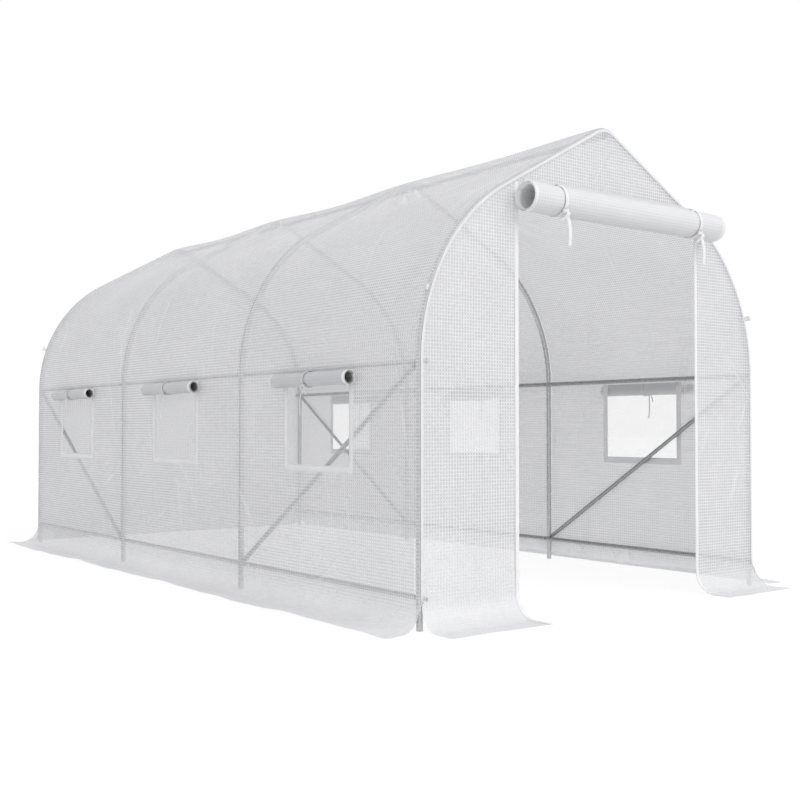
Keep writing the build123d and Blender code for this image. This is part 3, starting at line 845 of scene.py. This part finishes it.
def make_screen(name, node, side, y_mid):
    """Netting that fills one window, a little slack."""
    ys = np.linspace(-WINDOW_W / 2 - 0.004, WINDOW_W / 2 + 0.004, 20)
    zs = np.linspace(-WINDOW_H / 2 - 0.004, WINDOW_H / 2 + WINDOW_SEAM + 0.003, 18)
    Z, Y = np.meshgrid(zs, ys, indexing="ij")
    belly = np.cos(Y / WINDOW_W * pi) * np.cos(Z / WINDOW_H * pi)
    soft = waves(Y * 18, Z * 14, [(1, 0.4, y_mid, 0.5), (-0.6, 1, 1.0 + side, 0.5)])
    X = side * (WALL_X - 0.0006 - unit(belly) * (0.0022 + 0.0018 * soft))
    verts = np.stack([X, Y + y_mid, Z + WINDOW_MID], -1).reshape(-1, 3)
    uv = np.stack([Y, Z], -1).reshape(-1, 2)
    obj = mesh_object(name, verts, grid_faces(len(zs), len(ys)), uv, SCREEN_MAT)
    return dress(obj, "screen_mesh", node)


UP = np.array((0, 0, 1.0))
ROLL_STEPS = 28
LAP_ROWS = 5


def make_roll(name, node, stand, length, radius, pitch, turns, lap, rng, material, thickness,
              lap_span):
    """Rolled-up flap at a stand (centre, axis, outward): a lap and a spiral of uneven turns."""
    section = [(-radius, lap * (1 - i / LAP_ROWS)) for i in range(LAP_ROWS)]
    for i in range(int(turns * ROLL_STEPS) + 1):
        a = 2 * pi * i / ROLL_STEPS
        r = radius - pitch * i / ROLL_STEPS
        section.append((-r * cos(a), -r * sin(a)))
    run = run_length(section)
    cols = np.linspace(-0.5, 0.5, 41)
    centre, axis, out = (np.array(a, float) for a in stand)
    phase = [rng.uniform(0, 6.28) for _ in range(6)]
    verts, uvs = [], []
    for i, (a, b) in enumerate(section):
        in_lap = i < LAP_ROWS
        depth = max(0.0, (i - LAP_ROWS) / ROLL_STEPS)
        tele = 0.0035 * sin(2.2 * depth + phase[0]) + 0.002 * sin(5 * depth + phase[1])
        for c in cols:
            place = c * (length - 0.008)
            if in_lap:
                bulge = 1
                spot = lap_span[0] + (c + 0.5) * (lap_span[1] - lap_span[0])
                place += (1 - i / LAP_ROWS) * length * (spot - c)
            else:
                bulge = (1 + 0.010 * sin(9 * c + phase[2] + i * 0.13)
                         + 0.008 * sin(21 * c + phase[3] - i * 0.21))
                place += tele * (abs(c) * 2) ** 12 * (1 if c > 0 else -1)
            verts.append(centre + out * a * bulge + UP * b * bulge + axis * place)
            uvs.append((c * length, run[i]))
    obj = mesh_object(name, verts, grid_faces(len(section), len(cols)), uvs, material)
    solid = obj.modifiers.new("layers", "SOLIDIFY")
    solid.thickness = thickness
    solid.offset = 0
    return dress(obj, "rolled_film", node), float(run[-1])


def make_tie(name, node, stand, radius, lap, width, tail, rng, knot, sway, turns, material):
    """Tape round a roll, tied low in front, with a knot and two ends hanging from it."""
    centre, axis, out = (np.array(a, float) for a in stand)
    thick = 0.0018
    inner = radius + 0.0012 + thick / 2

    def at(a, b, c=0.0):
        return centre + out * a + UP * b + axis * c

    loop = [at(-inner, lap * (1 - i / 4)) for i in range(4)]
    last = 345 + 360 * (turns - 1)
    for i in range(24 * turns + 1):
        ang = radians(last * i / (24 * turns))
        r = inner * (1 + 0.02 * sin(3 * ang + rng.uniform(-0.2, 0.2)))
        slide = 0.0
        if turns > 1:
            r += min(thick * 0.9 * max(0.0, degrees(ang) - 300) / 60, thick)
            slide = (width * 0.95 * sin(min(pi, ang / 4)) - width * 0.3) * (turns - 1)
        loop.append(at(-r * cos(ang), -r * sin(ang), slide))
    pieces = [dress(ribbon(name + "_loop", loop, axis, width, thick, material), "tie_tape", node)]
    knot_r, knot_angle = inner + knot * 0.32, radians(-42)
    kx, kz = knot_r * cos(knot_angle), knot_r * sin(knot_angle)
    ring = []
    for i in range(19):
        a = 2 * pi * i / 18 * 1.15
        ring.append(at(kx + knot * 0.30 * cos(a), kz + knot * 0.08 * sin(2 * a),
                       knot * 0.5 * sin(a)))
    section = rounded(knot * 0.62, thick * 1.6)
    bow = sweep(name + "_knot", ring, UP, np.cross(directions(ring), UP), section, material)
    pieces.append(dress(bow, "tie_tape"))
    for j, (length, lean) in enumerate(((tail, 1.0), (tail * 0.28, -1.0))):
        pts = []
        for i in range(7):
            t = i / 6
            pts.append(at(kx + sway * sin(2.6 * t + j) + 0.004 * j, kz - 0.004 - length * t,
                          lean * (0.004 + sway * 1.2 * t * t) + sway * 0.4 * sin(4 * t + j)))
        end = ribbon(f"{name}_end_{j}", smooth_path(pts), axis, width, thick, material)
        pieces.append(dress(end, "tie_tape"))
    return pieces


def make_windows():
    """Hem, netting, rolled flap and tie of each of the six windows."""
    rng = random.Random(21)
    for side, label in SIDES:
        for bay, y in zip(("front", "middle", "rear"), BAYS):
            tag, nodes = f"{label}_{bay}", f"{label}_window"
            hem = make_hem_frame(f"window_hem_{tag}", f"{nodes}_hems", side, y)
            screen = make_screen(f"window_screen_{tag}", f"{nodes}_screens", side, y)
            x, z = side * (WALL_X + 0.0015 + 0.0355), WINDOW_HEAD - 0.012
            ways = (0, 1, 0), (side, 0, 0)
            roll, run = make_roll(
                f"window_roll_{tag}", f"{nodes}_rolls", ((x, y, z), *ways), WINDOW_ROLL_LENGTH,
                WINDOW_ROLL_R, 0.0030, 2.9, WINDOW_LAP, rng, SHADED_WINDOW_ROLL_MAT, 0.0015, (-0.40, 0.40))
            ties = make_tie(
                f"window_tie_{tag}", f"{nodes}_ties",
                ((x, y + rng.uniform(-0.01, 0.01), z), *ways), WINDOW_ROLL_R + 0.001,
                WINDOW_LAP, 0.008, 0.120, rng, 0.018, 0.010, 2, SHADED_TIE_TAPE_MAT)


def make_door_roll():
    """Rolled door flap over the doorway, with its two ties."""
    rng = random.Random(8)
    x, y, z = (DOOR_LEFT + DOOR_RIGHT) / 2 + 0.02, -2.0023 - 0.0021 - DOOR_ROLL_R - 0.001, 1.636
    ways = (1, 0, 0), (0, -1, 0)
    roll, run = make_roll("door_roll_sheet", "door_roll", ((x, y, z), *ways), DOOR_ROLL_LENGTH,
                          DOOR_ROLL_R, 0.0021, 4.9, DOOR_LAP, rng, DOOR_ROLL_MAT, 0.0013,
                          (-0.455, 0.43))
    ties = [make_tie(f"door_tie_{label}", "door_ties", ((x + side * 0.415, y, z), *ways),
                     DOOR_ROLL_R + 0.001, DOOR_LAP, 0.018, 0.135, rng, 0.026, 0.012, 1, TAPE_MAT)
            for side, label in SIDES]


# --- Tube frame ---
def tube_end(point, out, radius, neck):
    """The two rings beyond a tube's end: a narrowed neck, or the inside of an open end."""
    if neck:
        return [point + out * 0.003, point + out * 0.02], radius - 0.0012
    return [point, point - out * 0.03], radius - TUBE_WALL


def tube_piece(name, node, paths, radius, neck_start=False, neck_end=False, segments=20):
    """One node's tubes as round ones, each with a neck where it plugs into the next."""
    verts, faces, uvs = [], [], []
    for path in paths:
        path = np.asarray(path, float)
        start, end = path[0], path[-1]
        d0, d1 = (d / np.linalg.norm(d) for d in (path[1] - start, end - path[-2]))
        first, first_r = tube_end(start, -d0, radius, neck_start)
        last, last_r = tube_end(end, d1, radius, neck_end)
        pts = np.array([*first[::-1], start, start + d0 * 0.0015, *path[1:-1],
                        end - d1 * 0.0015, end, *last])
        n = len(pts)
        radii = [first_r] * 2 + [radius] * (n - 4) + [last_r] * 2
        base = len(verts)
        for i, (p, r, length) in enumerate(zip(pts, radii, run_length(pts))):
            # Rings at the ends keep the tube's direction where the points fold back inside.
            if i < 3:
                t = pts[3] - pts[2]
            elif i >= n - 3:
                t = pts[n - 3] - pts[n - 4]
            else:
                t = pts[i + 1] - pts[i - 1]
            t = t / np.linalg.norm(t)
            ref = np.array((0.0, 1.0, 0.0) if abs(t[1]) < 0.8 else (1.0, 0.0, 0.0))
            a = ref - t * np.dot(ref, t)
            a /= np.linalg.norm(a)
            b = np.cross(t, a)
            for j in range(segments + 1):
                w = 2 * pi * j / segments
                verts.append(p + (a * cos(w) + b * sin(w)) * r)
                uvs.append((length, w * HOOP_R))
        faces += grid_faces(n, segments + 1, None, base)
    is_hoop = radius == HOOP_R
    obj = mesh_object(name, verts, faces, uvs, HOOP_MAT if is_hoop else RAIL_MAT)
    return dress(obj, "hoop_steel" if is_hoop else "rail_steel", node)


def rail_paths(x, z):
    """Three lengths of rail that meet at the inner hoops."""
    ends = [-RAIL_END, *HOOPS[1:-1], RAIL_END]
    return [[(x, a + (NECK if i else 0), z), (x, b, z)]
            for i, (a, b) in enumerate(zip(ends, ends[1:]))]


def along_rafter(dist):
    """Point of a rafter at a distance from the shoulder."""
    return SHOULDER_X - dist * PITCH_COS, SHOULDER_Z + dist * PITCH_SIN


def make_frame():
    """Hoops, rails and braces, one piece for each node."""
    pieces = []
    bow = []
    for i in range(31):
        a = radians(BOW_DEGREES * i / 30)
        bow.append((BOW_X + BOW_R * cos(a), EAVE + BOW_R * sin(a)))
    parts = (("leg", [(HALF_SPAN, 0.0), (HALF_SPAN, EAVE - NECK)], False),
             ("bow", [*bow, along_rafter(0.043)], True),
             ("rafter", [along_rafter(0.046), along_rafter(RAFTER - NECK)], True))
    for side, label in SIDES:
        for part, line, neck in parts:
            paths = [[(side * a, y, b) for a, b in line] for y in HOOPS]
            tag = f"{label}_{part}"
            pieces.append(tube_piece(f"{tag}_tubes", f"{tag}s", paths, HOOP_R, neck))
        for word, z in (("waist", EAVE), ("bottom", BOTTOM_RAIL)):
            tag = f"{label}_{word}_rail"
            pieces.append(tube_piece(f"{tag}_tubes", tag, rail_paths(side * RAIL_X, z), RAIL_R))
        for word, high, low in (("front", *HOOPS[:2]), ("rear", HOOPS[3], HOOPS[2])):
            foot = np.array([side * HALF_SPAN, low, BOTTOM_RAIL])
            head = np.array([side * HALF_SPAN, high, EAVE])
            short = (head - foot) * (HOOP_R + CLEARANCE) / abs(high - low)
            tag = f"{label}_{word}_brace"
            pieces.append(tube_piece(f"{tag}_tube", tag, [[foot + short, head - short]], RAIL_R))
    bend = [(RIDGE_R * sin(a), RIDGE_CENTRE + RIDGE_R * cos(a))
            for a in np.radians(np.linspace(PITCH_DEGREES, -PITCH_DEGREES, 21))]
    paths = [[(a, y, b) for a, b in bend] for y in HOOPS]
    pieces.append(tube_piece("ridge_bend_tubes", "ridge_bends", paths, HOOP_R, True, True))
    paths = rail_paths(0, RIDGE_RAIL_Z)
    return [*pieces, tube_piece("ridge_rail_tubes", "ridge_rail", paths, RAIL_R)]


def make_screws():
    """Hex-headed screws through each rail into its hoop."""
    verts, faces, uvs = [], [], []
    rings = ((0.0065, 0.0), (0.0065, 0.0010), (0.0040, 0.0012), (0.0040, 0.0040),
             (0.0032, 0.0046))
    sides, sixth = 16, pi / 3

    def screw(x, y, z, axis):
        p, axis = np.array((x, y, z)), np.array(axis, float)
        a = np.cross(axis, (0, 1.0, 0))
        a /= np.linalg.norm(a)
        b = np.cross(axis, a)
        start = len(verts)
        for r, h in rings:
            for j in range(sides):
                w = 2 * pi * j / sides
                q = r
                if 0.001 < h < 0.0045:
                    q = r * cos(sixth / 2) / cos((w % sixth) - sixth / 2)
                verts.append(p + (a * cos(w) + b * sin(w)) * q + axis * h)
                uvs.append((q * cos(w), q * sin(w)))
        faces.extend(grid_faces(len(rings), sides, None, start, wrap=True))
        faces.append([start + (len(rings) - 1) * sides + j for j in range(sides)])

    # Screws of the inner hoops stand beside the joint of two rails.
    places = [y + (0.012 if abs(y) < 1 else 0) for y in HOOPS]
    for side, _ in SIDES:
        for y in places:
            for z in (EAVE, BOTTOM_RAIL):
                screw(side * (RAIL_X - RAIL_R + CLEARANCE), y, z, (-side, 0, 0))
    for y in places:
        screw(0, y, RIDGE_RAIL_Z - RAIL_R + CLEARANCE, (0, 0, -1))
    dress(mesh_object("frame_screws", verts, faces, uvs, BOLT_MAT, smooth=False), "rail_steel")


def make_guy_loops():
    """Small folded tape loops sewn into the corner seams."""
    edge = BOW_R + FILM
    height = 1.25
    lean = asin((height - EAVE) / edge)
    eye = [(0.000, 0.0010), (0.010, 0.0012), (0.015, 0.0030), (0.021, 0.0036)]
    eye = [*eye, (0.025, 0.0), *[(d, -f) for d, f in eye[::-1]]]
    for side, label in SIDES:
        for sign, word in ((-1, "front"), (1, "rear")):
            x = side * (BOW_X + edge * cos(lean))
            seam = np.array([x, sign * (FILM_FACE - 0.004), height])
            up = np.array([-side * sin(lean), 0, cos(lean)])
            diagonal = np.array([side * cos(lean), sign, sin(lean)])
            diagonal /= np.linalg.norm(diagonal)
            face = np.cross(diagonal, up)
            path = smooth_path([seam + diagonal * d + face * f for d, f in eye])
            loop = ribbon(f"guy_loop_{label}_{word}", path, up, 0.022, 0.0016, TAPE_MAT)
            dress(loop, "tie_tape", "guy_loops")


# --- Build ---
tubes = make_frame()
make_screws()
cover = make_cover()
front = make_end("front_sheet", -1, [
    (-HALF_SPAN, DOOR_EDGES[0], SKIRT_TOP, 80, (0.015, None)),
    (DOOR_EDGES[1], HALF_SPAN, SKIRT_TOP, 80, (None, 0.050)),
    (*DOOR_EDGES, DOOR_TOP, 14, None),
], ["front_left_panel", "front_right_panel", "front_gable", "front_left_skirt",
    "front_right_skirt"])
rear = make_end("rear_sheet", 1, [(-HALF_SPAN, HALF_SPAN, SKIRT_TOP, 80, (0.02, 0.02))],
                ["rear_panel", "rear_skirt"])
seams = make_seams()
door_hems = make_door_hems()
make_windows()
make_door_roll()
make_guy_loops()


# --- Floor, light and camera ---
def backdrop(n, lit, shown, share=1.0):
    """Shader that looks plain white where it is seen, and lights the object by another one."""
    path = n.node("LightPath").outputs
    seen = n.add(n.add(path["Is Camera Ray"], path["Is Glossy Ray"]), path["Is Transmission Ray"])
    return n.surface(n.blend(n.mul(n.math("MINIMUM", seen, 1.0), share), lit, shown))


def sun(name, towards, strength, angle):
    """Soft directional light shining along a vector."""
    data = bpy.data.lights.new(name, "SUN")
    data.energy = strength
    data.angle = radians(angle)
    obj = bpy.data.objects.new(name, data)
    obj.rotation_euler = Vector(towards).to_track_quat("-Z", "Y").to_euler()
    scene.collection.objects.link(obj)


FLOOR = 60
corners = (-FLOOR, -FLOOR, 0), (FLOOR, -FLOOR, 0), (FLOOR, FLOOR, 0), (-FLOOR, FLOOR, 0)
floor = mesh_object("floor", corners, [(0, 1, 2, 3)])
n = new_material("floor_white")
floor.data.materials.append(backdrop(
    n, n.node("BsdfDiffuse", in_Color=(0.9, 0.9, 0.9, 1)),
    n.node("Emission", in_Color=(1, 1, 1, 1), in_Strength=1.06), 0.82))

n = Nodes(bpy.data.worlds.new("studio"), "OutputWorld")
scene.world = backdrop(
    n, n.node("Background", in_Color=(0.98, 0.985, 1.0, 1), in_Strength=0.72),
    n.node("Background", in_Color=(1, 1, 1, 1), in_Strength=1.0))

sun("key", (-0.30, 0.9, -0.8), 1.2, 50)
sun("fill", (0.9, 0.5, -0.6), 0.25, 80)

SENSOR, FOCAL_PIXELS, PHOTO_PIXELS = 36, 1113.16, 800
camera_data = bpy.data.cameras.new("camera")
camera_data.sensor_width = SENSOR
camera_data.lens = FOCAL_PIXELS / PHOTO_PIXELS * SENSOR
camera = bpy.data.objects.new("camera", camera_data)
camera.location = (-3.5029, -5.1848, 0.7402)
camera.rotation_euler = (1.5955, 0.0, -0.6491)
scene.collection.objects.link(camera)
scene.camera = camera
scene.view_settings.view_transform = "Standard"
